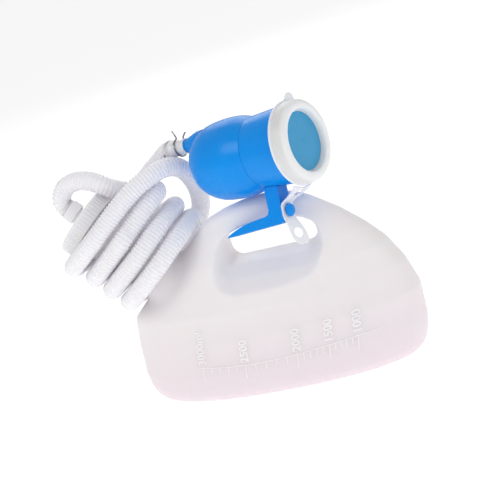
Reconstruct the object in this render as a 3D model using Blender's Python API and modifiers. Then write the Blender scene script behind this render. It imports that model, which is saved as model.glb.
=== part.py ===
"""Urine bottle with a hose and a mouthpiece that hangs on the bottle's handle.

Metres, +Z up. The origin is the middle of the bottle's flat base. +X points away from the neck, and
-Y is the front, where the volume scale is. Turned pieces are drawn round their own Z axis: the neck
frame's Z points out of the neck, and the mouthpiece frame's Z points out of its mouth.
"""

import math

import bmesh
import bpy
from mathutils import Matrix, Vector

# Bottle body: horizontal sections, as (height, left end, right end, half depth)
BODY_SECTIONS = [
    (0.0000, -0.1240, 0.1220, 0.0420),
    (0.0030, -0.1300, 0.1270, 0.0465),
    (0.0080, -0.1350, 0.1315, 0.0495),
    (0.0160, -0.1380, 0.1350, 0.0510),
    (0.0300, -0.1390, 0.1385, 0.0520),
    (0.0600, -0.1350, 0.1405, 0.0515),
    (0.0850, -0.1300, 0.1340, 0.0480),
    (0.1070, -0.1040, 0.1233, 0.0415),
    (0.1250, -0.0800, 0.1090, 0.0335),
    (0.1430, -0.0560, 0.0915, 0.0212),
    (0.1540, -0.0410, 0.0780, 0.0138),
    (0.1620, -0.0290, 0.0670, 0.0120),
    (0.1675, -0.0120, 0.0560, 0.0085),
    (0.1708, 0.0060, 0.0450, 0.0052),
    (0.1722, 0.0180, 0.0360, 0.0020),
]
SECTION_POWER = 2.15
BODY_SIDES = 48
WALL = 0.0020

# Hand slot through the body, and the bar over it
SLOT_LEFT = -0.0190
SLOT_RIGHT = 0.0670
SLOT_BOTTOM = 0.1195
SLOT_SPRING = 0.1370
SLOT_RISE = 0.0145
SLOT_CORNER_LEFT = 0.0060
SLOT_CORNER_RIGHT = 0.0150
SLOT_FLARE = 0.0100
SLOT_TOP_SHARE = 0.35
SLOT_FLARE_DEPTH = 0.0300
SLOT_REACH = 0.0600

# Neck frame: the middle of the cap's end face, and the neck's rise above level
NECK_END = Vector((-0.1487, 0.0, 0.1895))
NECK_RISE = math.radians(50.0)
NECK_RADIUS = 0.0250
FINISH_RADIUS = 0.0309
NECK_DEPTH = 0.1200
NECK_FLARE = ((0.0960, 0.0250), (0.1060, 0.0266), (0.1160, 0.0300))

CAP_RADIUS = 0.0340
CAP_HEIGHT = 0.0140
CAP_TOP = 0.0025
CAP_BORE = 0.0314
NIPPLE_RADIUS = 0.0078
NIPPLE_BORE = 0.0055
NIPPLE_LENGTH = 0.0092
GASKET_THICKNESS = 0.0012

HOSE_RADIUS = 0.0091
CUFF_RADIUS = 0.0102
FUNNEL_CUFF_RADIUS = 0.0070

# Mouthpiece frame: the middle of the lid's front, and its turn, rise and roll
LID_FRONT = Vector((0.0898, -0.0255, 0.2162))
MOUTH_YAW = math.radians(-17.0)
MOUTH_PITCH = math.radians(4.6)
MOUTH_ROLL = math.radians(17.3)
MOUTH_RADIUS = 0.0342
WAIST_RADIUS = 0.0318
SLEEVE_TAPER_START = 0.0150
SLEEVE_END = 0.0500
BULB_SWELL = [
    (0.0318, 0.0503), (0.0328, 0.0545), (0.0345, 0.0600), (0.0356, 0.0660), (0.0361, 0.0730),
    (0.0360, 0.0800),
]
BULB_RADIUS = 0.0354
BULB_CENTRE = 0.0868
SHELL = 0.0018
NOZZLE_OFFSET = 0.0220
NOZZLE_RADIUS = 0.0057
NOZZLE_BORE = 0.0043
NOZZLE_END = 0.1430

STEM_FRONT = 0.0365
STEM_BACK = 0.0503
HOOK_WIDTH = 0.0150
HOOK_DROP = 0.0647
TONGUE_TIP = 0.1000
TONGUE_DROP = 0.0676

LID_RADIUS = 0.0360
FLANGE_RADIUS = 0.0372
LID_DEPTH = 0.0140
LID_GAP = 0.0006
DISC_RADIUS = 0.0262
DISC_DEPTH = 0.0052
PLUG_RADIUS = 0.0292

GAP = 0.0003
SMALL = 1e-5


def clear_scene():
    for obj in list(bpy.data.objects):
        bpy.data.objects.remove(obj, do_unlink=True)
    for group in list(bpy.data.collections):
        bpy.data.collections.remove(group)


def new_collection(name, hidden=False):
    group = bpy.data.collections.new(name)
    bpy.context.scene.collection.children.link(group)
    group.hide_render = hidden
    return group


def material(name, colour, roughness, metallic=0.0):
    made = bpy.data.materials.new(name)
    made.use_nodes = True
    shader = made.node_tree.nodes["Principled BSDF"]
    shader.inputs["Base Color"].default_value = (*colour, 1.0)
    shader.inputs["Roughness"].default_value = roughness
    shader.inputs["Metallic"].default_value = metallic
    return made


def add_object(name, data, group, finish=None, parent=None):
    obj = bpy.data.objects.new(name, data)
    group.objects.link(obj)
    if finish is not None:
        data.materials.append(finish)
    if parent is not None:
        obj.parent = parent
    return obj


def as_cutter(obj):
    obj.hide_render = True
    obj.display_type = "WIRE"
    return obj


def smooth(data):
    data.shade_smooth()
    data.set_sharp_from_angle(angle=math.radians(40.0))


def ring_loft(name, rings, closed=True):
    """A mesh through rings of equal point counts. Each ring runs anticlockwise seen from the last one."""
    bm = bmesh.new()
    rows = [[bm.verts.new(p) for p in ring] for ring in rings]
    count = len(rows[0])
    for low, high in zip(rows, rows[1:]):
        for i in range(count):
            j = (i + 1) % count
            bm.faces.new((low[i], low[j], high[j], high[i]))
    if closed:
        bm.faces.new(reversed(rows[0]))
        bm.faces.new(rows[-1])
    bmesh.ops.recalc_face_normals(bm, faces=bm.faces)
    data = bpy.data.meshes.new(name)
    bm.to_mesh(data)
    bm.free()
    smooth(data)
    return data


def turned(name, profile, group, finish=None, parent=None, steps=40, closed=False):
    """A profile of (radius, height) points, turned round Z. Its outer side runs from top to bottom."""
    bm = bmesh.new()
    points = [bm.verts.new((r, 0.0, z)) for r, z in profile]
    for a, b in zip(points, points[1:]):
        bm.edges.new((a, b))
    if closed:
        bm.edges.new((points[-1], points[0]))
    data = bpy.data.meshes.new(name)
    bm.to_mesh(data)
    bm.free()
    obj = add_object(name, data, group, finish, parent)
    screw = obj.modifiers.new("turn", "SCREW")
    screw.axis = "Z"
    screw.steps = steps
    screw.render_steps = steps
    screw.use_merge_vertices = True
    screw.merge_threshold = SMALL
    screw.use_smooth_shade = True
    return obj


def combine(obj, other, operation):
    made = obj.modifiers.new(f"{operation.lower()}_{other.name}", "BOOLEAN")
    made.operation = operation
    made.object = other
    made.solver = "EXACT"
    return made


def frame_empty(name, origin, x_axis, y_axis, z_axis, group, parent=None):
    empty = bpy.data.objects.new(name, None)
    empty.empty_display_size = 0.03
    group.objects.link(empty)
    turn = Matrix((x_axis, y_axis, z_axis)).transposed().to_4x4()
    world = Matrix.Translation(origin) @ turn
    if parent is not None:
        empty.parent = parent
    bpy.context.view_layer.update()
    empty.matrix_world = world
    bpy.context.view_layer.update()
    return empty


CURVE_STEPS = 24
LONGEST_STEP = 0.0170
SHORTEST_STEP = 0.0035
MOST_TURN = math.radians(15.0)


def smooth_path(points):
    """The smooth curve through the points, as a fine polyline."""
    padded = [2 * points[0] - points[1], *points, 2 * points[-1] - points[-2]]
    fine = []
    for a, b, c, d in zip(padded, padded[1:], padded[2:], padded[3:]):
        for i in range(CURVE_STEPS):
            t = i / CURVE_STEPS
            fine.append(
                0.5 * ((2 * b) + (c - a) * t + (2 * a - 5 * b + 4 * c - d) * t**2
                       + (3 * b - a - 3 * c + d) * t**3)
            )
    fine.append(points[-1])
    return fine


def thinned(fine):
    """Points of the polyline, closer together where it bends, with a short step at each end."""
    kept, last_way = [0], (fine[1] - fine[0]).normalized()
    since = 0.0
    for i in range(1, len(fine) - 1):
        since += (fine[i] - fine[i - 1]).length
        way = (fine[i + 1] - fine[i]).normalized()
        bend = way.angle(last_way)
        first = len(kept) == 1
        if since >= SHORTEST_STEP and (first or bend >= MOST_TURN or since >= LONGEST_STEP):
            kept.append(i)
            last_way, since = way, 0.0
    while (fine[kept[-1]] - fine[-1]).length < SHORTEST_STEP:
        kept.pop()
    before_end = len(fine) - 1
    while (fine[before_end] - fine[-1]).length < SHORTEST_STEP:
        before_end -= 1
    while (fine[kept[-1]] - fine[before_end]).length < SHORTEST_STEP:
        kept.pop()
    return [fine[i] for i in [*kept, before_end]] + [fine[-1]]


def tube(name, points, radius, group, finish, resolution=2, parent=None):
    """A round bar along the points, with filled ends."""
    curve = bpy.data.curves.new(name, "CURVE")
    curve.dimensions = "3D"
    curve.bevel_depth = radius
    curve.bevel_resolution = resolution
    curve.use_fill_caps = True
    spline = curve.splines.new("POLY")
    spline.points.add(len(points) - 1)
    for place, p in zip(spline.points, points):
        place.co = (*p, 1.0)
    return add_object(name, curve, group, finish, parent)


# Bottle


def section_at(height):
    """(left, right, half depth) of the body at a height, between the listed sections."""
    rows = BODY_SECTIONS
    for low, high in zip(rows, rows[1:]):
        if height <= high[0]:
            t = (height - low[0]) / (high[0] - low[0])
            return tuple(low[i] + (high[i] - low[i]) * t for i in (1, 2, 3))
    return rows[-1][1:]


def body_ring(height, inset):
    left, right, depth = section_at(height)
    middle, half = (left + right) / 2, (right - left) / 2 - inset
    depth = max(depth - inset, 0.0004)
    ring = []
    for i in range(BODY_SIDES):
        a = 2 * math.pi * i / BODY_SIDES
        c, s = math.cos(a), math.sin(a)
        x = math.copysign(abs(c) ** (2 / SECTION_POWER), c) * half
        y = math.copysign(abs(s) ** (2 / SECTION_POWER), s) * depth
        ring.append(Vector((middle + x, y, height)))
    return ring


def body_rings(inset):
    top = BODY_SECTIONS[-1][0] - 2.2 * inset
    heights = [row[0] for row in BODY_SECTIONS if inset < row[0] < top - 0.001]
    heights = [inset, *heights, top] if inset else [row[0] for row in BODY_SECTIONS]
    return [body_ring(h, inset) for h in heights]


def arc(middle, radius, start, end, steps):
    turns = [start + (end - start) * i / steps for i in range(steps + 1)]
    return [
        (middle[0] + radius * math.cos(math.radians(a)), middle[1] + radius * math.sin(math.radians(a)))
        for a in turns
    ]


def slot_outline(grow, top_share):
    """The hand slot seen from the front, as (x, z) points: a low arch over a flat sill."""
    middle = (SLOT_LEFT + SLOT_RIGHT) / 2
    half = (SLOT_RIGHT - SLOT_LEFT) / 2
    points = arc(
        (SLOT_LEFT + SLOT_CORNER_LEFT, SLOT_BOTTOM + SLOT_CORNER_LEFT),
        SLOT_CORNER_LEFT + grow, 180, 270, 4,
    )
    points += arc(
        (SLOT_RIGHT - SLOT_CORNER_RIGHT, SLOT_BOTTOM + SLOT_CORNER_RIGHT),
        SLOT_CORNER_RIGHT + grow, 270, 360, 6,
    )
    steps = 14
    for i in range(steps + 1):
        a = math.pi * i / steps
        x = middle + (half + grow) * math.cos(a)
        points.append((x, SLOT_SPRING + (SLOT_RISE + grow * top_share) * math.sin(a)))
    return points


def slot_flare(y):
    return SLOT_FLARE * (abs(y) / SLOT_FLARE_DEPTH) ** 2


def slot_cutter(name, extra, group):
    rows = 8
    ys = [SLOT_REACH * (2 * i / rows - 1) for i in range(rows + 1)]
    share = SLOT_TOP_SHARE if extra == 0.0 else 1.0
    rings = [[Vector((x, y, z)) for x, z in slot_outline(slot_flare(y) + extra, share)] for y in ys]
    return as_cutter(add_object(name, ring_loft(name, rings), group))


def make_bottle(parts, cutters, plastic, neck):
    bottle = add_object("bottle", ring_loft("bottle", body_rings(0.0)), parts, plastic)
    flare = [(r, -t) for t, r in NECK_FLARE]
    neck_solid = as_cutter(turned(
        "neck_solid",
        [(0.0, -0.0038), (0.0300, -0.0038), (FINISH_RADIUS, -0.0048), (FINISH_RADIUS, -0.0140),
         (NECK_RADIUS, -0.0190), *flare, (0.0, -NECK_DEPTH)],
        cutters, parent=neck,
    ))
    bore = NECK_RADIUS - WALL
    neck_bore = as_cutter(turned(
        "neck_bore",
        [(0.0, 0.0020), (bore, 0.0020), (bore, -NECK_DEPTH), (0.0, -NECK_DEPTH)],
        cutters, parent=neck,
    ))
    cavity = as_cutter(add_object("cavity", ring_loft("cavity", body_rings(WALL)), cutters))
    combine(cavity, slot_cutter("slot_liner", WALL, cutters), "DIFFERENCE")
    combine(cavity, neck_bore, "UNION")
    combine(bottle, neck_solid, "UNION")
    combine(bottle, slot_cutter("slot", 0.0, cutters), "DIFFERENCE")
    combine(bottle, cavity, "DIFFERENCE")
    return bottle


# Screw cap, its gasket and the hose's cuff on it


def make_cap(parts, plastic, rubber, soft, neck, cap_lift, cap):
    turned(
        "screw_cap",
        [(NIPPLE_BORE, NIPPLE_LENGTH), (NIPPLE_RADIUS - 0.0008, NIPPLE_LENGTH),
         (NIPPLE_RADIUS, NIPPLE_LENGTH - 0.0012), (NIPPLE_RADIUS, 0.0), (CAP_RADIUS - 0.0015, 0.0),
         (CAP_RADIUS, -0.0015), (CAP_RADIUS, -CAP_HEIGHT), (CAP_BORE, -CAP_HEIGHT),
         (CAP_BORE, -CAP_TOP), (NIPPLE_BORE, -CAP_TOP)],
        parts, plastic, cap, steps=48, closed=True,
    )
    low = -CAP_TOP - 0.0001 - GASKET_THICKNESS
    turned(
        "cap_gasket",
        [(0.0230, low + GASKET_THICKNESS - 0.0001), (0.0306, low + GASKET_THICKNESS - 0.0001),
         (0.0306, low + 0.0001), (0.0230, low + 0.0001)],
        parts, rubber, cap_lift, steps=40, closed=True,
    )
    turned(
        "cap_cuff",
        [(0.0058, 0.0148), (CUFF_RADIUS - 0.0008, 0.0148), (CUFF_RADIUS, 0.0140), (CUFF_RADIUS, 0.0050),
         (NIPPLE_RADIUS + 0.0004, 0.0050), (NIPPLE_RADIUS + 0.0004, 0.0138), (0.0058, 0.0138)],
        parts, soft, neck, steps=24, closed=True,
    )


# Hose, laid round the neck. Its route is given beside the neck: depth below the cap's end, height
# above the neck's axis, and distance in front of it.

COIL_PITCH = 0.0194
COIL_START = 0.0414
COIL_RADIUS = 0.0482
COIL_LIFT = 0.0096
COIL_TILT = math.radians(26.5)
# How far each eighth of a turn lies below the turn's lowest point, from the top, down the front
COIL_SHIFT = (0.0042, 0.0051, 0.0051, 0.0025, 0.0, 0.0012, 0.0063, 0.0150)
COIL_TURNS = 3

LOOP_ROUTE = [
    (-15.1, 0.0, 0.0), (-18.6, 0.0, 0.0), (-22.4, 1.2, 1.0), (-25.6, 4.6, 2.5), (-27.4, 10.0, 4.8),
    (-27.4, 16.2, 8.0),
    (-24.5, 22.0, 12.0), (-20.0, 27.0, 16.5), (-14.0, 31.0, 21.0), (-7.0, 34.0, 25.0),
    (0.0, 36.0, 27.5), (8.0, 38.0, 26.0), (16.0, 41.0, 22.5), (24.0, 45.5, 19.0), (32.5, 52.0, 17.5),
    (40.0, 58.0, 20.0), (44.8, 60.0, 26.5), (46.4, 56.5, 35.0), (46.6, 47.0, 41.5),
    (46.4, 33.0, 44.8), (46.4, 17.0, 45.8),
]
OVER_ROUTE = [
    (80.4, -34.0, -19.0), (84.0, -24.0, -34.5), (88.0, -8.0, -43.0), (90.0, 10.0, -48.0),
    (91.0, 27.0, -50.0), (91.0, 42.0, -48.5), (89.5, 53.5, -44.0), (87.0, 63.4, -37.0),
    (83.5, 71.5, -27.0), (77.8, 78.7, -15.5), (71.2, 84.0, -3.5), (63.4, 87.6, 8.5),
    (55.5, 89.2, 19.5), (48.2, 87.8, 28.5), (42.2, 83.2, 35.5), (37.5, 76.5, 40.5),
    (34.2, 67.5, 44.5), (31.2, 57.0, 47.6), (28.8, 45.0, 49.5), (27.2, 30.0, 50.3),
    (26.5, 14.0, 50.0), (25.5, -8.0, 47.0), (23.5, -26.5, 37.5), (21.3, -38.0, 21.0),
    (20.4, -41.8, 2.0), (21.0, -39.0, -16.0),
]
# The hose's last points, on the nozzle's axis, behind the lid
HOSE_END_STEPS = (0.1525, 0.1505, 0.1487, 0.1469)
LEAD_ROUTE = [
    (22.6, -28.5, -34.0), (24.2, -10.0, -43.0), (25.0, 8.0, -43.5), (25.2, 22.0, -36.5),
    (25.4, 33.0, -27.0), (25.9, 43.0, -18.5), (26.9, 52.0, -11.0), (28.0, 61.0, -4.0),
    (28.9, 70.0, 2.0), (30.0, 78.5, 7.5), (31.2, 86.0, 11.5),
]


def beside_neck(depth, height, forward):
    """A point of the hose's route, in the row frame."""
    down = Vector((math.cos(NECK_RISE), 0.0, -math.sin(NECK_RISE)))
    out = Vector((math.sin(NECK_RISE), 0.0, math.cos(NECK_RISE)))
    back = Vector((0.0, 1.0, 0.0))
    high = out * math.cos(COIL_TILT) + back * math.sin(COIL_TILT)
    front = out * math.sin(COIL_TILT) - back * math.cos(COIL_TILT)
    return NECK_END + down * depth + high * height + front * forward


def coil_route():
    """Turns round the neck, down the front and up the back, from the first turn's front."""
    points = []
    for step in range(2, 8 * COIL_TURNS - 3):
        turn, eighth = divmod(step, 8)
        a = step * math.pi / 4
        radius = COIL_LIFT * math.cos(a) + math.sqrt(COIL_RADIUS**2 - (COIL_LIFT * math.sin(a)) ** 2)
        depth = COIL_START + COIL_PITCH * turn + COIL_SHIFT[eighth]
        points.append((depth, radius * math.cos(a), radius * math.sin(a)))
    return points


def make_hose(parts, soft, nozzle_end):
    route = [beside_neck(*(v / 1000 for v in p)) for p in LOOP_ROUTE]
    route += [beside_neck(*p) for p in coil_route()]
    route += [beside_neck(*(v / 1000 for v in p)) for p in OVER_ROUTE]
    lead = [beside_neck(*(v / 1000 for v in p)) for p in LEAD_ROUTE]
    points = thinned(smooth_path([*route, *lead, *nozzle_end]))
    split = min(range(len(points)), key=lambda i: (points[i] - lead[0]).length)
    middle = (points[split] + points[split + 1]) / 2
    half_gap = (points[split + 1] - points[split]).normalized() * (GAP / 2)
    tube("hose_coil", [*points[: split + 1], middle - half_gap], HOSE_RADIUS, parts, soft)
    tube("hose_lead", [middle + half_gap, *points[split + 1:]], HOSE_RADIUS, parts, soft)


# Mouthpiece


BULB_STEPS = 9
BULB_START = math.radians(84.0)


def bulb_profile(inset):
    """The bulb from its waist to its rear pole, as (radius, distance behind the lid)."""
    points = [(r - inset, k) for r, k in BULB_SWELL]
    radius = BULB_RADIUS - inset
    for i in range(BULB_STEPS + 1):
        a = BULB_START * (1 - i / BULB_STEPS)
        points.append((radius * math.sin(a), BULB_CENTRE + radius * math.cos(a)))
    return points


def make_bowl(parts, cutters, plastic, mouth):
    outer = [(r, -k) for r, k in bulb_profile(0.0)]
    inner = [(r, -k) for r, k in bulb_profile(SHELL)]
    bowl = turned("funnel_bowl", [*reversed(inner), *outer], parts, plastic, mouth, steps=40)
    offset = Matrix.Translation((0.0, NOZZLE_OFFSET, 0.0))
    rod = as_cutter(turned(
        "nozzle_rod",
        [(0.0, -0.1080), (0.0105, -0.1080), (0.0104, -0.1130), (0.0086, -0.1195), (0.0068, -0.1250),
         (NOZZLE_RADIUS, -0.1285), (NOZZLE_RADIUS, -NOZZLE_END), (0.0, -NOZZLE_END)],
        cutters, parent=mouth, steps=24,
    ))
    rod.matrix_local = offset
    hole = as_cutter(turned(
        "nozzle_hole",
        [(0.0, -0.0900), (NOZZLE_BORE, -0.0900), (NOZZLE_BORE, -NOZZLE_END - 0.002),
         (0.0, -NOZZLE_END - 0.002)],
        cutters, parent=mouth, steps=20,
    ))
    hole.matrix_local = offset
    inside = as_cutter(turned("bowl_inside", [(0.0, -0.0400), (inner[0][0], -0.0400), *inner],
                              cutters, parent=mouth, steps=40))
    combine(bowl, rod, "UNION")
    combine(bowl, inside, "DIFFERENCE")
    combine(bowl, hole, "DIFFERENCE")
    return bowl


def make_sleeve(parts, plastic, mouth):
    front, rear = 0.0042, SLEEVE_END
    turned(
        "funnel_sleeve",
        [(MOUTH_RADIUS - SHELL, -front), (MOUTH_RADIUS - 0.0003, -front), (MOUTH_RADIUS, -front - 0.0004),
         (MOUTH_RADIUS, -SLEEVE_TAPER_START), (WAIST_RADIUS, -rear), (WAIST_RADIUS - SHELL, -rear),
         (MOUTH_RADIUS - SHELL, -SLEEVE_TAPER_START)],
        parts, plastic, mouth, steps=48, closed=True,
    )


def hook_side():
    """The hook seen from the side, as (distance behind the lid, drop below the axis)."""
    top = 0.0300
    return [
        (STEM_FRONT, top), (STEM_FRONT, HOOK_DROP - 0.0030), (STEM_FRONT + 0.0009, HOOK_DROP - 0.0009),
        (STEM_FRONT + 0.0030, HOOK_DROP), (TONGUE_TIP - 0.0004, TONGUE_DROP),
        (TONGUE_TIP + 0.0002, TONGUE_DROP - 0.0006), (0.0990, 0.0664), (0.0969, 0.0650), (0.0910, 0.0627),
        (0.0844, 0.0606), (0.0770, 0.0590), (0.0700, 0.0578), (0.0620, 0.0568), (STEM_BACK + 0.0050, 0.0562),
        (STEM_BACK + 0.0014, 0.0548), (STEM_BACK, 0.0515), (STEM_BACK, top),
    ]


def make_hook(parts, cutters, plastic, mouth):
    data = bpy.data.meshes.new("handle_hook")
    bm = bmesh.new()
    half = HOOK_WIDTH / 2
    near = [bm.verts.new((-half, -v, -k)) for k, v in hook_side()]
    bm.faces.new(near)
    made = bmesh.ops.extrude_face_region(bm, geom=bm.faces[:])
    moved = [v for v in made["geom"] if isinstance(v, bmesh.types.BMVert)]
    bmesh.ops.translate(bm, vec=(HOOK_WIDTH, 0.0, 0.0), verts=moved)
    bmesh.ops.recalc_face_normals(bm, faces=bm.faces)
    bm.to_mesh(data)
    bm.free()
    hook = add_object("handle_hook", data, parts, plastic, mouth)
    body = as_cutter(turned(
        "sleeve_space",
        [(0.0, 0.0), (MOUTH_RADIUS + GAP, 0.0), (MOUTH_RADIUS + GAP, -SLEEVE_TAPER_START),
         (WAIST_RADIUS + GAP, -SLEEVE_END), (WAIST_RADIUS + 0.0011 + GAP, -SLEEVE_END - 0.004),
         (0.0, -SLEEVE_END - 0.004)],
        cutters, parent=mouth, steps=48,
    ))
    combine(hook, body, "DIFFERENCE")
    peg = as_cutter(turned(
        "peg",
        [(0.0, 0.0072), (0.0022, 0.0070), (0.0042, 0.0061), (0.0056, 0.0044), (0.0058, 0.0034),
         (0.0052, 0.0026), (0.0034, 0.0024), (0.0034, -0.0020), (0.0, -0.0020)],
        cutters, parent=mouth, steps=24,
    ))
    peg.matrix_local = Matrix.Translation(PEG_PLACE)
    combine(hook, peg, "UNION")


PEG_PLACE = Vector((0.0, -0.0545, -STEM_FRONT))


def make_funnel_cuff(parts, soft, mouth):
    place = Matrix.Translation((0.0, NOZZLE_OFFSET, 0.0))
    cuff = turned(
        "funnel_cuff",
        [(NOZZLE_RADIUS + GAP, -0.1295), (FUNNEL_CUFF_RADIUS, -0.1295), (FUNNEL_CUFF_RADIUS, -0.1430),
         (HOSE_RADIUS - 0.0004, -0.1466), (0.0050, -0.1466), (0.0050, -0.1436),
         (NOZZLE_RADIUS + GAP, -0.1436)],
        parts, soft, mouth, steps=24, closed=True,
    )
    cuff.matrix_local = place


CLAMP_TURN = math.radians(335.0)
CLAMP_START = math.radians(95.0)
CLAMP_STEPS = 26
WIRE_RADIUS = 0.0008


def make_clamp(parts, steel, mouth):
    """One wire: nearly a full turn round the cuff, and two tangs that stand up from it."""
    radius = FUNNEL_CUFF_RADIUS + WIRE_RADIUS + GAP
    rear, front = -0.1395, -0.1345
    turn = []
    for i in range(CLAMP_STEPS + 1):
        share = i / CLAMP_STEPS
        a = CLAMP_START + CLAMP_TURN * share
        turn.append(Vector((radius * math.cos(a), radius * math.sin(a), rear + (front - rear) * share)))
    first, last = turn[0], turn[-1]
    rear_tang = [first + Vector((-0.0004, 0.0082, -0.0034)), first + Vector((-0.0002, 0.0050, -0.0018)),
                 first + Vector((0.0, 0.0020, -0.0004))]
    front_tang = [last + Vector((0.0, 0.0016, 0.0004)), last + Vector((0.0002, 0.0034, 0.0018)),
                  last + Vector((0.0002, 0.0050, 0.0036))]
    clamp = tube("hose_clamp", [*rear_tang, *turn, *front_tang], WIRE_RADIUS, parts, steel, 2, mouth)
    clamp.matrix_local = Matrix.Translation((0.0, NOZZLE_OFFSET, 0.0))


# Lid and its strap


# The pull tab's right half, as (half width, distance from the lid's axis)
TAB_HALF = [(0.0088, 0.0354), (0.0084, 0.0366), (0.0066, 0.0385), (0.0054, 0.0405), (0.0044, 0.0424),
            (0.0026, 0.0436), (0.0, 0.0440)]
TAB_TURN = math.radians(-7.0)
TAB_THICKNESS = 0.0014


def tab_cutter(group, lid):
    half = [Vector((x, y, 0.0)) for x, y in TAB_HALF]
    outline = half + [Vector((-p.x, p.y, 0.0)) for p in reversed(half[:-1])]
    low = Vector((0.0, 0.0, -LID_DEPTH))
    high = Vector((0.0, 0.0, TAB_THICKNESS - LID_DEPTH))
    data = ring_loft("pull_tab", [[p + low for p in outline], [p + high for p in outline]])
    tab = as_cutter(add_object("pull_tab", data, group, None, lid))
    tab.matrix_local = Matrix.Rotation(TAB_TURN, 4, "Z")
    return tab


def make_lid(parts, cutters, plastic, lid):
    inner = MOUTH_RADIUS + LID_GAP
    depth = LID_DEPTH
    body = turned(
        "lid",
        [(0.0, -DISC_DEPTH), (DISC_RADIUS, -DISC_DEPTH), (DISC_RADIUS + 0.0005, -0.0022),
         (DISC_RADIUS + 0.0014, -0.0006), (DISC_RADIUS + 0.0030, 0.0), (LID_RADIUS - 0.0042, 0.0),
         (LID_RADIUS - 0.0020, -0.0007), (LID_RADIUS - 0.0007, -0.0022), (LID_RADIUS, -0.0050),
         (LID_RADIUS, -depth + 0.0018), (FLANGE_RADIUS, -depth + 0.0014), (FLANGE_RADIUS, -depth),
         (inner, -depth), (inner, -0.0039), (PLUG_RADIUS, -0.0039), (PLUG_RADIUS, -DISC_DEPTH - 0.0009),
         (0.0, -DISC_DEPTH - 0.0009)],
        parts, plastic, lid, steps=56,
    )
    combine(body, tab_cutter(cutters, lid), "UNION")
    return body


STRAP_THICKNESS = 0.0010
# The strap's middle line and edges: drop below the axis, distance behind the lid, width, turn about
# its length towards the front, and how far the edges rise above the middle
STRAP_ROWS = [
    (0.0385, 0.0146, 0.0270, 0.0, 0.0022), (0.0402, 0.0170, 0.0250, 0.0, 0.0016),
    (0.0422, 0.0217, 0.0215, 0.0, 0.0008), (0.0444, 0.0272, 0.0175, 0.0, 0.0003),
    (0.0464, 0.0318, 0.0158, 0.0, 0.0), (0.0480, 0.0347, 0.0156, 0.0, 0.0),
    (0.0502, 0.0357, 0.0158, 0.0, 0.0), (0.0545, 0.0357, 0.0160, 0.0, 0.0),
    (0.0588, 0.0357, 0.0158, 0.0, 0.0), (0.0614, 0.0349, 0.0154, 3.0, 0.0),
    (0.0650, 0.0330, 0.0150, 8.0, 0.0), (0.0700, 0.0308, 0.0150, 16.0, 0.0),
    (0.0750, 0.0290, 0.0156, 20.0, 0.0), (0.0800, 0.0274, 0.0150, 22.0, 0.0),
    (0.0835, 0.0264, 0.0120, 23.0, 0.0), (0.0855, 0.0258, 0.0070, 24.0, 0.0),
]
# The strap's holes: name, drop, distance behind the lid, radius, turn, and tilt about the lid's width
STRAP_HOLES = (
    ("peg_hole", 0.0545, 0.0357, 0.0040, 0.0, 0.0),
    ("spare_hole", 0.0750, 0.0290, 0.0044, 20.0, 0.0),
    ("root_hole", 0.0418, 0.0212, 0.0048, 0.0, 67.0),
)
HOLE_REACH = 0.0120
ROOT_HOLE_REACH = 0.0050


def make_strap(parts, cutters, plastic, mouth):
    """A ribbon from below the lid over the hook's peg, with a spare hole near its loose end."""
    data = bpy.data.meshes.new("lid_strap")
    bm = bmesh.new()
    rows = []
    for drop, back, width, turn, bow in STRAP_ROWS:
        across = Vector((math.cos(math.radians(turn)), 0.0, math.sin(math.radians(turn))))
        middle = Vector((0.0, -drop, -back))
        rise = Vector((0.0, bow, 0.0))
        edge = across * (width / 2)
        rows.append([bm.verts.new(p) for p in (middle + edge + rise, middle, middle - edge + rise)])
    for above, below in zip(rows, rows[1:]):
        for i in range(2):
            bm.faces.new((above[i], above[i + 1], below[i + 1], below[i]))
    bm.to_mesh(data)
    bm.free()
    strap = add_object("lid_strap", data, parts, plastic, mouth)
    thick = strap.modifiers.new("thickness", "SOLIDIFY")
    thick.thickness = STRAP_THICKNESS
    thick.offset = 0.0
    for name, drop, back, radius, turn, tilt in STRAP_HOLES:
        reach = HOLE_REACH if tilt == 0.0 else ROOT_HOLE_REACH
        drill = as_cutter(turned(
            name, [(0.0, reach), (radius, reach), (radius, -reach), (0.0, -reach)],
            cutters, parent=mouth, steps=20,
        ))
        place = Matrix.Translation((0.0, -drop, -back))
        lean = Matrix.Rotation(math.radians(tilt), 4, "X")
        drill.matrix_local = place @ Matrix.Rotation(math.radians(-turn), 4, "Y") @ lean
        combine(strap, drill, "DIFFERENCE")
    return strap


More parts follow.
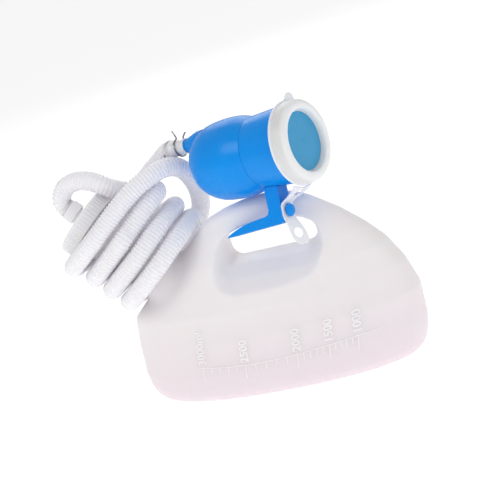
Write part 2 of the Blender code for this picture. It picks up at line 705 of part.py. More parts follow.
def main():
    clear_scene()
    parts = new_collection("urine_bottle")
    cutters = new_collection("cutters", hidden=True)
    milky = material("milky_polyethylene", (0.86, 0.83, 0.83), 0.38)
    cream = material("cream_polyethylene", (0.88, 0.84, 0.80), 0.36)
    hose_soft = material("clear_soft_plastic", (0.84, 0.84, 0.92), 0.30)
    blue = material("blue_polypropylene", (0.0, 0.28, 0.80), 0.28)
    frosted = material("frosted_polyethylene", (0.82, 0.85, 0.90), 0.34)
    rubber = material("white_rubber", (0.80, 0.80, 0.78), 0.60)
    steel = material("spring_steel", (0.35, 0.36, 0.38), 0.35, 1.0)

    outward = Vector((-math.cos(NECK_RISE), 0.0, math.sin(NECK_RISE)))
    radial = Vector((math.sin(NECK_RISE), 0.0, math.cos(NECK_RISE)))
    back = Vector((0.0, 1.0, 0.0))
    neck = frame_empty("neck_frame", NECK_END, radial, back, outward, parts)
    cap_lift = frame_empty("cap_lift_frame", NECK_END, radial, back, outward, parts)
    cap = frame_empty("cap_frame", NECK_END, radial, back, outward, parts, cap_lift)

    run = math.cos(MOUTH_PITCH)
    forward = Vector((math.cos(MOUTH_YAW) * run, math.sin(MOUTH_YAW) * run, math.sin(MOUTH_PITCH)))
    level = Vector((-math.sin(MOUTH_YAW), math.cos(MOUTH_YAW), 0.0))
    above = forward.cross(level)
    high = above * math.cos(MOUTH_ROLL) + level * math.sin(MOUTH_ROLL)
    far = high.cross(forward)
    mouth = frame_empty("mouthpiece_frame", LID_FRONT, far, high, forward, parts)
    lid = frame_empty("lid_frame", LID_FRONT, far, high, forward, parts, mouth)

    make_bottle(parts, cutters, milky, neck)
    make_cap(parts, cream, rubber, hose_soft, neck, cap_lift, cap)
    nozzle_end = [mouth.matrix_world @ Vector((0.0, NOZZLE_OFFSET, -k)) for k in HOSE_END_STEPS]
    make_hose(parts, hose_soft, nozzle_end)
    make_bowl(parts, cutters, blue, mouth)
    make_sleeve(parts, blue, mouth)
    make_hook(parts, cutters, blue, mouth)
    make_funnel_cuff(parts, hose_soft, mouth)
    make_clamp(parts, steel, mouth)
    make_lid(parts, cutters, frosted, lid)
    make_strap(parts, cutters, frosted, mouth)


main()
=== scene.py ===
"""The looks of the urine bottle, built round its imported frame.

Everything is in metres, in the CAD's frame: +Z up, -Y the front with the volume scale, +X away from
the neck. The corrugated hose repeats the route of the CAD's own tubes.
"""

import math

import bmesh
import bpy
from mathutils import Matrix, Vector
from mathutils.bvhtree import BVHTree


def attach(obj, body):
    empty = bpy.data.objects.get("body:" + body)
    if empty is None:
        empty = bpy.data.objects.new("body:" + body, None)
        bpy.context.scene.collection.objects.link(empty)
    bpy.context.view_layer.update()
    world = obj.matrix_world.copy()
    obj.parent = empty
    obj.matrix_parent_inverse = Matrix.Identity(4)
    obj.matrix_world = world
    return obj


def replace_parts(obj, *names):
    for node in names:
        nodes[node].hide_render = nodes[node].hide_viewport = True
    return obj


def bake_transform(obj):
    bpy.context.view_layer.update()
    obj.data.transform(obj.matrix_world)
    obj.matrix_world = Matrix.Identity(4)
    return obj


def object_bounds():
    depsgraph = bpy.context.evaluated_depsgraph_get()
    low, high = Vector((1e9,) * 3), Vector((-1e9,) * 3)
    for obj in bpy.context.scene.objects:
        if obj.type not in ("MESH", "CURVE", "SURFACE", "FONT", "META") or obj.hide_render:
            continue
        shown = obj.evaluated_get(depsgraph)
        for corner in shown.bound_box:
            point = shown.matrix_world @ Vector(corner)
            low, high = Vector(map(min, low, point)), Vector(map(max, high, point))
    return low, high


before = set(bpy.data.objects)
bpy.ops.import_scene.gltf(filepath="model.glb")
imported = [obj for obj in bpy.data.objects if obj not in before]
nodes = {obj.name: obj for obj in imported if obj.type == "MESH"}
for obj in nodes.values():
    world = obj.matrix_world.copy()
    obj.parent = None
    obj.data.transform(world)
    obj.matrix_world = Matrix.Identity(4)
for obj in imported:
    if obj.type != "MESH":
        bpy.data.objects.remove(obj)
cad_low, cad_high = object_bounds()

# Camera
VIEW_TARGET = Vector((-0.0075, 0.0, 0.1347))
VIEW_DISTANCE = 1.2
VIEW_AZIMUTH = math.radians(21.0)
VIEW_ELEVATION = math.radians(16.5)
VIEW_ROLL = math.radians(19.0)
VIEW_LENS = 99.78

FLOOR_HALF = 20.0
FLOOR_GAP = 0.0002

# Neck frame: the middle of the cap's end face, and the neck's rise above level
NECK_END = Vector((-0.1487, 0.0, 0.1895))
NECK_RISE = math.radians(50.0)
NECK_OUT = Vector((-math.cos(NECK_RISE), 0.0, math.sin(NECK_RISE)))

# Hose
HOSE_RADIUS = 0.0090
RIB_PITCH = 0.0030
RIB_DEPTH = 0.0010
# A power over 1 makes the crests wide and the grooves narrow
RIB_SHARPNESS = 1.4
RIB_STEPS = 6
END_SMOOTH = 0.0040
HOSE_SIDES = 22
GROOVE_SHADE = "groove"

COIL_PITCH = 0.0194
COIL_START = 0.0414
COIL_RADIUS = 0.0482
COIL_LIFT = 0.0096
COIL_TILT = math.radians(26.5)
# How far each eighth of a turn lies below the turn's lowest point, from the top, down the front
COIL_SHIFT = (0.0042, 0.0051, 0.0051, 0.0025, 0.0, 0.0012, 0.0063, 0.0150)
COIL_TURNS = 3

# The route beside the neck, in millimetres: depth below the cap's end, height above the neck's axis,
# and distance in front of it
LOOP_ROUTE = [
    (-15.1, 0.0, 0.0), (-18.6, 0.0, 0.0), (-22.4, 1.2, 1.0), (-25.6, 4.6, 2.5), (-27.4, 10.0, 4.8),
    (-27.4, 16.2, 8.0),
    (-24.5, 22.0, 12.0), (-20.0, 27.0, 16.5), (-14.0, 31.0, 21.0), (-7.0, 34.0, 25.0),
    (0.0, 36.0, 27.5), (8.0, 38.0, 26.0), (16.0, 41.0, 22.5), (24.0, 45.5, 19.0), (32.5, 52.0, 17.5),
    (40.0, 58.0, 20.0), (44.8, 60.0, 26.5), (46.4, 56.5, 35.0), (46.6, 47.0, 41.5),
    (46.4, 33.0, 44.8), (46.4, 17.0, 45.8),
]
OVER_ROUTE = [
    (80.4, -34.0, -19.0), (84.0, -24.0, -34.5), (88.0, -8.0, -43.0), (90.0, 10.0, -48.0),
    (91.0, 27.0, -50.0), (91.0, 42.0, -48.5), (89.5, 53.5, -44.0), (87.0, 63.4, -37.0),
    (83.5, 71.5, -27.0), (77.8, 78.7, -15.5), (71.2, 84.0, -3.5), (63.4, 87.6, 8.5),
    (55.5, 89.2, 19.5), (48.2, 87.8, 28.5), (42.2, 83.2, 35.5), (37.5, 76.5, 40.5),
    (34.2, 67.5, 44.5), (31.2, 57.0, 47.6), (28.8, 45.0, 49.5), (27.2, 30.0, 50.3),
    (26.5, 14.0, 50.0), (25.5, -8.0, 47.0), (23.5, -26.5, 37.5), (21.3, -38.0, 21.0),
    (20.4, -41.8, 2.0), (21.0, -39.0, -16.0),
]
LEAD_ROUTE = [
    (22.6, -28.5, -34.0), (24.2, -10.0, -43.0), (25.0, 8.0, -43.5), (25.2, 22.0, -36.5),
    (25.4, 33.0, -27.0), (25.9, 43.0, -18.5), (26.9, 52.0, -11.0), (28.0, 61.0, -4.0),
    (28.9, 70.0, 2.0), (30.0, 78.5, 7.5), (31.2, 86.0, 11.5),
]
# The hose's last points, on the nozzle's axis, behind the lid
HOSE_END_STEPS = (0.1525, 0.1505, 0.1487, 0.1469)
CURVE_STEPS = 24

# Mouthpiece frame: the middle of the lid's front, and its turn, rise and roll
LID_FRONT = Vector((0.0898, -0.0255, 0.2162))
MOUTH_YAW = math.radians(-17.0)
MOUTH_PITCH = math.radians(4.6)
MOUTH_ROLL = math.radians(17.3)
NOZZLE_OFFSET = 0.0220
DISC_RADIUS = 0.0262
DISC_DEPTH = 0.0052
FILM_STEPS = 96
FILM_GAP = 0.0001
FILM_CROWN = 0.0003
FILM_THICKNESS = 0.00005

# Cap
CAP_RADIUS = 0.0340
CAP_HEIGHT = 0.0140
CAP_RIBS = 60
RIB_HEIGHT = 0.0007
STEPS_PER_RIB = 6
CAP_BORE = 0.0314
CAP_ROUNDING = 0.0015
CAP_WALL = 0.0025
NIPPLE_RADIUS = 0.0078
NIPPLE_BORE = 0.0055
NIPPLE_LENGTH = 0.0092

# Volume scale: its line's height at places along the front, and what each long mark reads
SCALE_LINE = [(-0.066, 0.0386), (-0.040, 0.0362), (-0.010, 0.0352), (0.022, 0.0362), (0.058, 0.0380),
              (0.084, 0.0395), (0.104, 0.0399)]
SCALE_MARKS = [(-0.064, "3000ml"), (-0.022, "2500"), (0.028, "2000"), (0.058, "1500"), (0.084, "1000")]
MARKS_BETWEEN = 5
LONG_MARK = 0.0130
SHORT_MARK = 0.0060
MARK_WIDTH = 0.0008
MARK_HEIGHT = 0.0003
# A mark's section: across it in half widths, and its height in whole heights
MARK_PROFILE = [(-1.0, -0.4), (-0.8, 0.6), (-0.35, 1.0), (0.35, 1.0), (0.8, 0.6), (1.0, -0.4)]
LINE_STEPS = 60
MARK_STEPS = 6
# How far the marks and figures lean to the right, for each metre up
MARK_LEAN = 0.19
LABEL_SIZE = 0.0108
LABEL_RISE = 0.0026
LABEL_MIDDLE = 0.35
LABEL_BEVEL = 0.00012

# Shared by several pieces
WELD_DISTANCE = 1e-5
SHARP_ANGLE = math.radians(38.0)

# Bottle
SKIN_VOXEL = 0.0014
# How near the neck's end a face belongs to its lip, which the skin leaves out
LIP_DEPTH = 0.0040
SKIN_SMOOTHING = 10
# Where the neck runs into the shoulder, which is blended more than the rest
ROOT_DEPTH = 0.098
NECK_ROOT = NECK_END - NECK_OUT * ROOT_DEPTH
ROOT_REACH = 0.052
ROOT_SMOOTHING = 210


# Pieces and meshes


def add_piece(name, mesh, finish, body=None):
    piece = bpy.data.objects.new(name, mesh)
    bpy.context.scene.collection.objects.link(piece)
    mesh.materials.clear()
    mesh.materials.append(finish)
    if body:
        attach(piece, body)
    return piece


def evaluated_mesh(source):
    bpy.context.view_layer.update()
    graph = bpy.context.evaluated_depsgraph_get()
    return bpy.data.meshes.new_from_object(source.evaluated_get(graph))


def mesh_from(name, bm):
    bmesh.ops.recalc_face_normals(bm, faces=bm.faces)
    mesh = bpy.data.meshes.new(name)
    bm.to_mesh(mesh)
    bm.free()
    mesh.shade_smooth()
    mesh.set_sharp_from_angle(angle=SHARP_ANGLE)
    return mesh


def loft(rings, bm):
    """Faces through closed rings of equal point counts, and over both ends."""
    rows = [[bm.verts.new(p) for p in ring] for ring in rings]
    count = len(rows[0])
    for low, high in zip(rows, rows[1:]):
        for i in range(count):
            j = (i + 1) % count
            bm.faces.new((low[i], low[j], high[j], high[i]))
    bm.faces.new(list(reversed(rows[0])))
    bm.faces.new(rows[-1])


def mouth_matrix():
    run = math.cos(MOUTH_PITCH)
    forward = Vector((math.cos(MOUTH_YAW) * run, math.sin(MOUTH_YAW) * run, math.sin(MOUTH_PITCH)))
    level = Vector((-math.sin(MOUTH_YAW), math.cos(MOUTH_YAW), 0.0))
    above = forward.cross(level)
    high = above * math.cos(MOUTH_ROLL) + level * math.sin(MOUTH_ROLL)
    far = high.cross(forward)
    return Matrix.Translation(LID_FRONT) @ Matrix((far, high, forward)).transposed().to_4x4()


def neck_matrix():
    radial = Vector((math.sin(NECK_RISE), 0.0, math.cos(NECK_RISE)))
    turn = Matrix((radial, Vector((0.0, 1.0, 0.0)), NECK_OUT)).transposed().to_4x4()
    return Matrix.Translation(NECK_END) @ turn


# Materials


def new_material(name):
    made = bpy.data.materials.new(name)
    made.use_nodes = True
    tree = made.node_tree
    return made, tree, tree.nodes["Principled BSDF"]


def noise(tree, scale, detail=3.0, roughness=0.5):
    where = tree.nodes.new("ShaderNodeTexCoord").outputs["Object"]
    made = tree.nodes.new("ShaderNodeTexNoise")
    made.inputs["Scale"].default_value = scale
    made.inputs["Detail"].default_value = detail
    made.inputs["Roughness"].default_value = roughness
    tree.links.new(where, made.inputs["Vector"])
    return made.outputs["Fac"]


def between(tree, factor, low, high, from_low=0.35, from_high=0.65):
    """A value from low to high as factor goes from from_low to from_high."""
    made = tree.nodes.new("ShaderNodeMapRange")
    made.inputs["From Min"].default_value = from_low
    made.inputs["From Max"].default_value = from_high
    made.inputs["To Min"].default_value = low
    made.inputs["To Max"].default_value = high
    tree.links.new(factor, made.inputs["Value"])
    return made.outputs["Result"]


def mixed(tree, factor, first, second):
    """Colour first where factor is 0, and second where it is 1. Either may be a node's output."""
    made = tree.nodes.new("ShaderNodeMix")
    made.data_type = "RGBA"
    tree.links.new(factor, made.inputs[0])
    for place, colour in ((6, first), (7, second)):
        if isinstance(colour, tuple):
            made.inputs[place].default_value = (*colour, 1.0)
        else:
            tree.links.new(colour, made.inputs[place])
    return made.outputs[2]


def bump(tree, shader, height, strength, distance):
    made = tree.nodes.new("ShaderNodeBump")
    made.inputs["Strength"].default_value = strength
    made.inputs["Distance"].default_value = distance
    tree.links.new(height, made.inputs["Height"])
    tree.links.new(made.outputs["Normal"], shader.inputs["Normal"])


def soft_light(shader, weight, radius, scale):
    shader.inputs["Subsurface Weight"].default_value = weight
    shader.inputs["Subsurface Radius"].default_value = radius
    shader.inputs["Subsurface Scale"].default_value = scale


def moulded(name, light, dark, rough_low, rough_high, patches=18.0, grain=900.0, grain_depth=0.00003):
    """Moulded plastic: slow changes of colour and gloss, and a fine grain."""
    made, tree, shader = new_material(name)
    slow = noise(tree, patches)
    colour = mixed(tree, between(tree, slow, 0.0, 1.0), light, dark)
    tree.links.new(colour, shader.inputs["Base Color"])
    wear = noise(tree, patches * 5.0, 5.0, 0.6)
    tree.links.new(between(tree, wear, rough_low, rough_high), shader.inputs["Roughness"])
    bump(tree, shader, noise(tree, grain, 2.0), 0.25, grain_depth)
    return made, shader, colour


def milky_plastic():
    """Blow-moulded polyethylene, painted darker and pinker towards the base as painted shade over the
    lower body.
    """
    made, shader, colour = moulded(
        "milky_polyethylene", (0.925, 0.892, 0.886), (0.905, 0.872, 0.874), 0.40, 0.52, 9.0, 500.0,
    )
    tree = made.node_tree
    where = tree.nodes.new("ShaderNodeTexCoord").outputs["Object"]
    parts = tree.nodes.new("ShaderNodeSeparateXYZ")
    tree.links.new(where, parts.inputs[0])
    # Painted shade: the colour turns darker and pinker over the lowest 110 mm of the bottle
    low = between(tree, parts.outputs["Z"], 1.0, 0.0, 0.0, 0.110)
    tree.links.new(mixed(tree, low, colour, (0.835, 0.750, 0.790)), shader.inputs["Base Color"])
    soft_light(shader, 0.55, (1.0, 0.80, 0.78), 0.016)
    return made


def raised_plastic():
    """The scale's marks: the same plastic, thicker and so whiter."""
    made, _, _ = moulded("raised_marks", (0.985, 0.975, 0.975), (0.970, 0.955, 0.960), 0.45, 0.60)
    return made


def hose_plastic():
    """Clear milky plastic, painted darker and bluer in the grooves of its ribs as painted shade."""
    made, tree, shader = new_material("clear_hose")
    groove = tree.nodes.new("ShaderNodeAttribute")
    groove.attribute_name = GROOVE_SHADE
    patches = between(tree, noise(tree, 30.0), 0.0, 1.0)
    crest = mixed(tree, patches, (0.955, 0.938, 0.985), (0.935, 0.915, 0.975))
    # Painted shade: the rib grooves take a darker, bluer colour than the crests
    colour = mixed(tree, groove.outputs["Fac"], crest, (0.880, 0.862, 0.955))
    tree.links.new(colour, shader.inputs["Base Color"])
    tree.links.new(between(tree, noise(tree, 160.0), 0.22, 0.36), shader.inputs["Roughness"])
    bump(tree, shader, noise(tree, 700.0, 2.0), 0.2, 0.00003)
    soft_light(shader, 0.85, (0.9, 0.9, 1.0), 0.014)
    return made


def cuff_plastic():
    made, shader, _ = moulded("hose_cuff", (0.945, 0.935, 0.980), (0.925, 0.915, 0.970), 0.26, 0.38)
    soft_light(shader, 0.5, (0.9, 0.9, 1.0), 0.004)
    return made


def cream_plastic():
    made, shader, _ = moulded("cream_cap", (0.965, 0.940, 0.940), (0.950, 0.922, 0.922), 0.34, 0.46)
    soft_light(shader, 0.4, (1.0, 0.8, 0.6), 0.006)
    return made


def blue_plastic():
    made, shader, _ = moulded(
        "blue_polypropylene", (0.000, 0.300, 0.880), (0.000, 0.270, 0.830), 0.22, 0.32,
        14.0, 700.0, 0.00002,
    )
    shader.inputs["Specular IOR Level"].default_value = 0.20
    shader.inputs["Coat Weight"].default_value = 0.05
    shader.inputs["Coat Roughness"].default_value = 0.15
    return made


def frosted_plastic():
    made, shader, _ = moulded("frosted_lid", (0.900, 0.925, 0.955), (0.875, 0.905, 0.940), 0.28, 0.40)
    soft_light(shader, 0.6, (0.8, 0.9, 1.0), 0.006)
    return made


def strap_plastic():
    made, shader, _ = moulded("clear_strap", (0.905, 0.910, 0.950), (0.880, 0.890, 0.935), 0.22, 0.34)
    soft_light(shader, 0.5, (0.9, 0.95, 1.0), 0.003)
    return made


def film_plastic():
    """The lid's thin middle, tinted by the blue mouthpiece behind it."""
    made, shader, _ = moulded("lid_film", (0.034, 0.340, 0.650), (0.030, 0.320, 0.620), 0.42, 0.52, 24.0)
    soft_light(shader, 0.2, (0.4, 0.8, 1.0), 0.003)
    return made


def white_rubber():
    made, _, _ = moulded("white_rubber", (0.780, 0.775, 0.750), (0.740, 0.735, 0.715), 0.55, 0.70)
    return made


def spring_steel():
    """Drawn wire: metal, with fine marks along it and slightly duller patches."""
    made, tree, shader = new_material("spring_steel")
    shader.inputs["Metallic"].default_value = 1.0
    dull = between(tree, noise(tree, 260.0, 4.0), 0.0, 1.0)
    colour = mixed(tree, dull, (0.360, 0.370, 0.390), (0.250, 0.255, 0.270))
    tree.links.new(colour, shader.inputs["Base Color"])
    tree.links.new(between(tree, noise(tree, 900.0), 0.22, 0.40), shader.inputs["Roughness"])
    bump(tree, shader, noise(tree, 2200.0, 2.0), 0.3, 0.00002)
    return made


# Camera, floor and light


def make_camera():
    level = Vector((math.cos(VIEW_AZIMUTH), math.sin(VIEW_AZIMUTH), 0.0))
    back = Vector((
        math.sin(VIEW_AZIMUTH) * math.cos(VIEW_ELEVATION),
        -math.cos(VIEW_AZIMUTH) * math.cos(VIEW_ELEVATION),
        math.sin(VIEW_ELEVATION),
    ))
    above = back.cross(level)
    up = above * math.cos(VIEW_ROLL) + level * math.sin(VIEW_ROLL)
    right = up.cross(back)
    data = bpy.data.cameras.new("camera")
    data.lens = VIEW_LENS
    camera = bpy.data.objects.new("camera", data)
    bpy.context.scene.collection.objects.link(camera)
    turn = Matrix((right, up, back)).transposed().to_4x4()
    camera.matrix_world = Matrix.Translation(VIEW_TARGET + back * VIEW_DISTANCE) @ turn
    bpy.context.scene.camera = camera


def make_floor():
    bm = bmesh.new()
    bmesh.ops.create_grid(bm, x_segments=1, y_segments=1, size=FLOOR_HALF)
    mesh = bpy.data.meshes.new("floor")
    bm.to_mesh(mesh)
    bm.free()
    made, _, shader = new_material("pale_floor")
    shader.inputs["Base Color"].default_value = (0.93, 0.93, 0.93, 1.0)
    shader.inputs["Roughness"].default_value = 0.9
    shader.inputs["Emission Color"].default_value = (1.0, 1.0, 1.0, 1.0)
    shader.inputs["Emission Strength"].default_value = 0.40
    floor = bpy.data.objects.new("floor", mesh)
    bpy.context.scene.collection.objects.link(floor)
    mesh.materials.append(made)
    floor.location.z = cad_low.z - FLOOR_GAP


def area_light(name, place, target, size, watts, colour):
    data = bpy.data.lights.new(name, "AREA")
    data.shape = "DISK"
    data.size = size
    data.energy = watts
    data.color = colour
    light = bpy.data.objects.new(name, data)
    bpy.context.scene.collection.objects.link(light)
    light.location = place
    light.rotation_mode = "QUATERNION"
    light.rotation_quaternion = (Vector(place) - Vector(target)).to_track_quat("Z", "Y")


def make_lights():
    middle = (0.0, 0.0, 0.12)
    area_light("key", (-0.75, -1.15, 1.45), middle, 0.9, 6.0, (1.0, 0.985, 0.97))
    area_light("fill", (1.35, -0.95, 0.75), middle, 1.1, 3.2, (0.94, 0.96, 1.0))
    area_light("back", (-0.35, 1.35, 1.10), middle, 1.2, 5.0, (0.95, 0.96, 1.0))
    world = bpy.data.worlds.new("studio")
    world.use_nodes = True
    world.node_tree.nodes["Background"].inputs["Color"].default_value = (1.0, 1.0, 1.0, 1.0)
    world.node_tree.nodes["Background"].inputs["Strength"].default_value = 0.56
    bpy.context.scene.world = world
    bpy.context.scene.view_settings.view_transform = "Standard"


# Hose


def beside_neck(depth, height, forward):
    """A point of the hose's route, in the row frame."""
    out = Vector((math.sin(NECK_RISE), 0.0, math.cos(NECK_RISE)))
    back = Vector((0.0, 1.0, 0.0))
    high = out * math.cos(COIL_TILT) + back * math.sin(COIL_TILT)
    front = out * math.sin(COIL_TILT) - back * math.cos(COIL_TILT)
    return NECK_END - NECK_OUT * depth + high * height + front * forward


def coil_route():
    """Turns round the neck, down the front and up the back, from the first turn's front."""
    points = []
    for step in range(2, 8 * COIL_TURNS - 3):
        turn, eighth = divmod(step, 8)
        a = step * math.pi / 4
        radius = COIL_LIFT * math.cos(a) + math.sqrt(COIL_RADIUS**2 - (COIL_LIFT * math.sin(a)) ** 2)
        depth = COIL_START + COIL_PITCH * turn + COIL_SHIFT[eighth]
        points.append((depth, radius * math.cos(a), radius * math.sin(a)))
    return points


def smooth_path(points):
    """The smooth curve through the points, as a fine polyline."""
    padded = [2 * points[0] - points[1], *points, 2 * points[-1] - points[-2]]
    fine = []
    for a, b, c, d in zip(padded, padded[1:], padded[2:], padded[3:]):
        for i in range(CURVE_STEPS):
            t = i / CURVE_STEPS
            fine.append(
                0.5 * ((2 * b) + (c - a) * t + (2 * a - 5 * b + 4 * c - d) * t**2
                       + (3 * b - a - 3 * c + d) * t**3)
            )
    fine.append(points[-1])
    return fine


def evenly(points, step):
    """Points along the polyline, a step apart, from its start to its end."""
    lengths = [(b - a).length for a, b in zip(points, points[1:])]
    count = max(2, round(sum(lengths) / step))
    spacing = sum(lengths) / count
    placed = [points[0]]
    walked = 0.0
    i = 0
    for n in range(1, count):
        while walked + lengths[i] < n * spacing:
            walked += lengths[i]
            i += 1
        share = (n * spacing - walked) / lengths[i]
        placed.append(points[i].lerp(points[i + 1], share))
    return [*placed, points[-1]]


def hose_routes(mouth):
    """The coil's and the lead's fine polylines, and where they meet."""
    route = [beside_neck(*(v / 1000 for v in p)) for p in LOOP_ROUTE]
    route += [beside_neck(*p) for p in coil_route()]
    route += [beside_neck(*(v / 1000 for v in p)) for p in OVER_ROUTE]
    lead = [beside_neck(*(v / 1000 for v in p)) for p in LEAD_ROUTE]
    end = [mouth @ Vector((0.0, NOZZLE_OFFSET, -k)) for k in HOSE_END_STEPS]
    fine = smooth_path([*route, *lead, *end])
    split = min(range(len(fine)), key=lambda i: (fine[i] - lead[0]).length)
    return fine[: split + 1], fine[split:]


def corrugated(name, line, finish, start_plain, end_plain):
    """A ribbed tube along the polyline. A plain end has no ribs over its last few millimetres."""
    points = evenly(line, RIB_PITCH / RIB_STEPS)
    total = len(points) - 1
    plain_steps = round(END_SMOOTH / RIB_PITCH * RIB_STEPS)
    side = (points[1] - points[0]).orthogonal().normalized()
    rings, groove_shade = [], []
    for n, point in enumerate(points):
        way = (points[min(n + 1, total)] - points[max(n - 1, 0)]).normalized()
        side = (side - way * side.dot(way)).normalized()
        other = way.cross(side)
        groove = 0.5 - 0.5 * math.cos(2 * math.pi * n / RIB_STEPS)
        if (start_plain and n < plain_steps) or (end_plain and n > total - plain_steps):
            groove = 0.0
        radius = HOSE_RADIUS - RIB_DEPTH * groove**RIB_SHARPNESS
        groove_shade.append(groove)
        rings.append([
            point + (side * math.cos(a) + other * math.sin(a)) * radius
            for a in (2 * math.pi * i / HOSE_SIDES for i in range(HOSE_SIDES))
        ])
    bm = bmesh.new()
    loft(rings, bm)
    bmesh.ops.recalc_face_normals(bm, faces=bm.faces)
    mesh = bpy.data.meshes.new(name)
    bm.to_mesh(mesh)
    bm.free()
    mesh.shade_smooth()
    # Each ring's groove depth, kept as the mask for the painted shade in the rib grooves
    shade = mesh.attributes.new(GROOVE_SHADE, "FLOAT", "POINT")
    shade.data.foreach_set("value", [d for d in groove_shade for _ in range(HOSE_SIDES)])
    return add_piece(name, mesh, finish), points


def make_hose(finish, mouth):
    coil_line, lead_line = hose_routes(mouth)
    coil, coil_points = corrugated("corrugated_hose", coil_line, finish, True, False)
    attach(coil, "bottle")
    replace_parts(coil, "hose_coil")
    lead, lead_points = corrugated("corrugated_lead", lead_line, finish, False, True)
    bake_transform(lead)
    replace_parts(lead, "hose_lead")


# Bottle


def outer_faces(mesh):
    """The CAD bottle's outside, closed over its mouth."""
    bm = bmesh.new()
    bm.from_mesh(mesh)
    bmesh.ops.remove_doubles(bm, verts=bm.verts, dist=WELD_DISTANCE)
    ends = [f for f in bm.faces if all((v.co - NECK_END).dot(NECK_OUT) > -LIP_DEPTH for v in f.verts)]
    bmesh.ops.delete(bm, geom=ends, context="FACES")
    kept, reached = set(), [max(bm.verts, key=lambda v: v.co.x)]
    while reached:
        vert = reached.pop()
        if vert not in kept:
            kept.add(vert)
            reached += [edge.other_vert(vert) for edge in vert.link_edges]
    bmesh.ops.delete(bm, geom=[v for v in bm.verts if v not in kept], context="VERTS")
    bmesh.ops.holes_fill(bm, edges=[e for e in bm.edges if e.is_boundary], sides=0)
    return mesh_from("bottle_outside", bm)


def make_bottle(finish):
    """The bottle's skin: the CAD's outside with its edges softened, as blow moulding leaves them."""
    draft = bpy.data.objects.new("bottle_draft", outer_faces(nodes["bottle"].data))
    bpy.context.scene.collection.objects.link(draft)
    remesh = draft.modifiers.new("even", "REMESH")
    remesh.mode = "VOXEL"
    remesh.voxel_size = SKIN_VOXEL
    soften = draft.modifiers.new("soften", "SMOOTH")
    soften.factor = 0.5
    soften.iterations = SKIN_SMOOTHING
    even = evaluated_mesh(draft)
    draft.modifiers.clear()
    draft.data = even
    root = draft.vertex_groups.new(name="neck_root")
    for vert in even.vertices:
        away = (vert.co - NECK_ROOT).length / ROOT_REACH
        if away < 1.0:
            root.add([vert.index], min(1.0, 2.0 * (1.0 - away)), "REPLACE")
    blend = draft.modifiers.new("blend", "SMOOTH")
    blend.factor = 0.5
    blend.iterations = ROOT_SMOOTHING
    blend.vertex_group = root.name
    mesh = evaluated_mesh(draft)
    bpy.data.objects.remove(draft)
    mesh.shade_smooth()
    skin = add_piece("bottle_skin", mesh, finish, "bottle")
    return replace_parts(skin, "bottle")


def line_height(x):
    for (x0, z0), (x1, z1) in zip(SCALE_LINE, SCALE_LINE[1:]):
        if x <= x1:
            return z0 + (z1 - z0) * (x - x0) / (x1 - x0)
    return SCALE_LINE[-1][1]


def front_of(tree, x, z):
    """The bottle's front surface at (x, z)."""
    hit = tree.ray_cast(Vector((x, -0.2, z)), Vector((0.0, 1.0, 0.0)))[0]
    return hit.y


def ridge(bm, tree, points, width):
    """A low rounded ridge on the bottle's front, along (x, z) points."""
    rings = []
    ends = len(points) - 1
    for n, (x, z) in enumerate(points):
        ax, az = points[max(n - 1, 0)]
        bx, bz = points[min(n + 1, ends)]
        way = Vector((bx - ax, bz - az)).normalized()
        across = Vector((-way.y, way.x)) * (width / 2)
        ring = []
        for share, height in MARK_PROFILE:
            px, pz = x + across.x * share, z + across.y * share
            ring.append(Vector((px, front_of(tree, px, pz) - MARK_HEIGHT * height, pz)))
        rings.append(ring)
    loft(rings, bm)


def make_scale(skin, finish):
    tree = BVHTree.FromObject(skin, bpy.context.evaluated_depsgraph_get())
    bm = bmesh.new()
    left, right = SCALE_LINE[0][0], SCALE_LINE[-1][0]
    xs = [left + (right - left) * i / LINE_STEPS for i in range(LINE_STEPS + 1)]
    ridge(bm, tree, [(x, line_height(x)) for x in xs], MARK_WIDTH)
    places = [x for x, _ in SCALE_MARKS]
    for x0, x1 in zip(places, places[1:]):
        for i in range(1, MARKS_BETWEEN):
            x = x0 + (x1 - x0) * i / MARKS_BETWEEN
            ridge(bm, tree, mark_points(x, SHORT_MARK), MARK_WIDTH)
    for x in places:
        ridge(bm, tree, mark_points(x, LONG_MARK), MARK_WIDTH)
    add_piece("scale_lines", mesh_from("scale_lines", bm), finish, "bottle")
    for x, words in SCALE_MARKS:
        make_label(words, x, tree, finish)


def mark_points(x, reach):
    """A mark hangs down from the scale's line."""
    top = line_height(x) - MARK_WIDTH * 0.4
    return [
        (x - MARK_LEAN * reach * i / MARK_STEPS, top - reach * i / MARK_STEPS)
        for i in range(MARK_STEPS + 1)
    ]


def make_label(words, x, tree, finish):
    """Moulded figures that read upwards, above the scale's line."""
    text = bpy.data.curves.new("figures", "FONT")
    text.body = words
    text.size = LABEL_SIZE
    text.extrude = MARK_HEIGHT
    text.bevel_depth = LABEL_BEVEL
    text.bevel_resolution = 1
    text.resolution_u = 3
    draft = bpy.data.objects.new("figures", text)
    bpy.context.scene.collection.objects.link(draft)
    mesh = evaluated_mesh(draft)
    bpy.data.objects.remove(draft)
    bpy.data.curves.remove(text)
    base = line_height(x) + LABEL_RISE
    for vert in mesh.vertices:
        along, up, out = vert.co
        px = x - up + LABEL_SIZE * LABEL_MIDDLE + MARK_LEAN * (along + LABEL_RISE)
        pz = base + along
        vert.co = (px, front_of(tree, px, pz) - out, pz)
    mesh.shade_smooth()
    mesh.set_sharp_from_angle(angle=SHARP_ANGLE)
    add_piece(f"figures_{words}", mesh, finish, "bottle")


# Cap


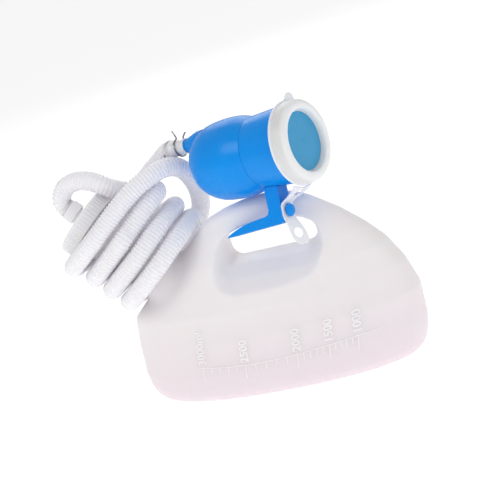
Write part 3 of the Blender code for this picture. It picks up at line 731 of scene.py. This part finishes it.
def make_cap(finish, neck):
    """The cap with its grip ribs and the nipple that the hose is pushed on."""
    # Each row: radius, height along the neck's axis, and how strongly it is ribbed
    rim = CAP_RADIUS - CAP_ROUNDING
    profile = [
        (NIPPLE_BORE, NIPPLE_LENGTH, 0.0), (NIPPLE_RADIUS - 0.0010, NIPPLE_LENGTH, 0.0),
        (NIPPLE_RADIUS - 0.0002, NIPPLE_LENGTH - 0.0006, 0.0),
        (NIPPLE_RADIUS, NIPPLE_LENGTH - 0.0016, 0.0), (NIPPLE_RADIUS, 0.0010, 0.0),
        (NIPPLE_RADIUS + 0.0010, 0.0, 0.0),
        (CAP_RADIUS - 0.0080, 0.0, 0.0), (CAP_RADIUS - 0.0074, -0.0004, 0.0),
        (CAP_RADIUS - 0.0066, 0.0, 0.0), (rim, 0.0, 0.0),
        (CAP_RADIUS - CAP_ROUNDING * 0.4, -CAP_ROUNDING * 0.4, 0.0),
        (CAP_RADIUS - RIB_HEIGHT * 0.5, -CAP_ROUNDING, 0.0),
        (CAP_RADIUS, -CAP_ROUNDING - 0.0012, 1.0), (CAP_RADIUS, -CAP_HEIGHT + 0.0026, 1.0),
        (CAP_RADIUS, -CAP_HEIGHT + 0.0018, 0.0), (CAP_RADIUS, -CAP_HEIGHT, 0.0),
        (CAP_BORE, -CAP_HEIGHT, 0.0), (CAP_BORE, -CAP_WALL, 0.0), (NIPPLE_BORE, -CAP_WALL, 0.0),
    ]
    steps = CAP_RIBS * STEPS_PER_RIB
    bm = bmesh.new()
    rows = []
    for radius, height, ribbed in profile:
        ring = []
        for i in range(steps):
            a = 2 * math.pi * i / steps
            wave = 0.5 + 0.5 * math.cos(CAP_RIBS * a)
            r = radius - RIB_HEIGHT * ribbed * (1.0 - min(1.0, 1.6 * wave))
            ring.append(bm.verts.new(neck @ Vector((r * math.cos(a), r * math.sin(a), height))))
        rows.append(ring)
    for low, high in zip(rows, [*rows[1:], rows[0]]):
        for i in range(steps):
            j = (i + 1) % steps
            bm.faces.new((low[i], low[j], high[j], high[i]))
    cap = add_piece("ribbed_cap", mesh_from("ribbed_cap", bm), finish, "cap")
    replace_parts(cap, "screw_cap")


# Mouthpiece and lid


def make_film(finish, mouth):
    """The lid's thin middle, a little crowned, with a moulding mark at its centre."""
    floor_depth = FILM_GAP - DISC_DEPTH
    profile = [(0.0006, 0.00030), (0.0014, 0.00032), (0.0018, 0.0)]
    profile += [(DISC_RADIUS * s, 0.0) for s in (0.2, 0.4, 0.6, 0.8, 0.93)]
    profile += [(DISC_RADIUS - 0.0007, -0.00005), (DISC_RADIUS - 0.0003, -0.0002)]
    bm = bmesh.new()
    rows = []
    for radius, raised in profile:
        height = floor_depth + FILM_CROWN * (1 - (radius / DISC_RADIUS) ** 2) + raised
        rows.append([
            bm.verts.new(mouth @ Vector((radius * math.cos(a), radius * math.sin(a), height)))
            for a in (2 * math.pi * i / FILM_STEPS for i in range(FILM_STEPS))
        ])
    for low, high in zip(rows, rows[1:]):
        for i in range(FILM_STEPS):
            j = (i + 1) % FILM_STEPS
            bm.faces.new((low[i], low[j], high[j], high[i]))
    bm.faces.new(rows[0])
    under = [bm.verts.new(v.co - mouth.to_3x3() @ Vector((0.0, 0.0, FILM_THICKNESS))) for v in rows[-1]]
    for i in range(FILM_STEPS):
        j = (i + 1) % FILM_STEPS
        bm.faces.new((rows[-1][i], rows[-1][j], under[j], under[i]))
    bm.faces.new(under)
    add_piece("lid_film", mesh_from("lid_film", bm), finish, "lid")


def dress(name, finish):
    """A carried CAD node: its facets shaded as one surface, and its material."""
    node = nodes[name]
    weld = node.modifiers.new("weld", "WELD")
    weld.merge_threshold = WELD_DISTANCE
    split = node.modifiers.new("split", "EDGE_SPLIT")
    split.split_angle = SHARP_ANGLE
    if "custom_normal" in node.data.attributes:
        node.data.attributes.remove(node.data.attributes["custom_normal"])
    node.data.shade_smooth()
    node.data.materials.clear()
    node.data.materials.append(finish)


def main():
    mouth = mouth_matrix()
    make_camera()
    hose = hose_plastic()
    make_hose(hose, mouth)
    make_floor()
    make_lights()
    milky = milky_plastic()
    skin = make_bottle(milky)
    make_scale(skin, raised_plastic())
    make_cap(cream_plastic(), neck_matrix())
    cuff = cuff_plastic()
    dress("cap_cuff", cuff)
    dress("funnel_cuff", cuff)
    dress("cap_gasket", white_rubber())
    dress("hose_clamp", spring_steel())
    blue = blue_plastic()
    for name in ("funnel_bowl", "funnel_sleeve", "handle_hook"):
        dress(name, blue)
    dress("lid", frosted_plastic())
    dress("lid_strap", strap_plastic())
    make_film(film_plastic(), mouth)


main()
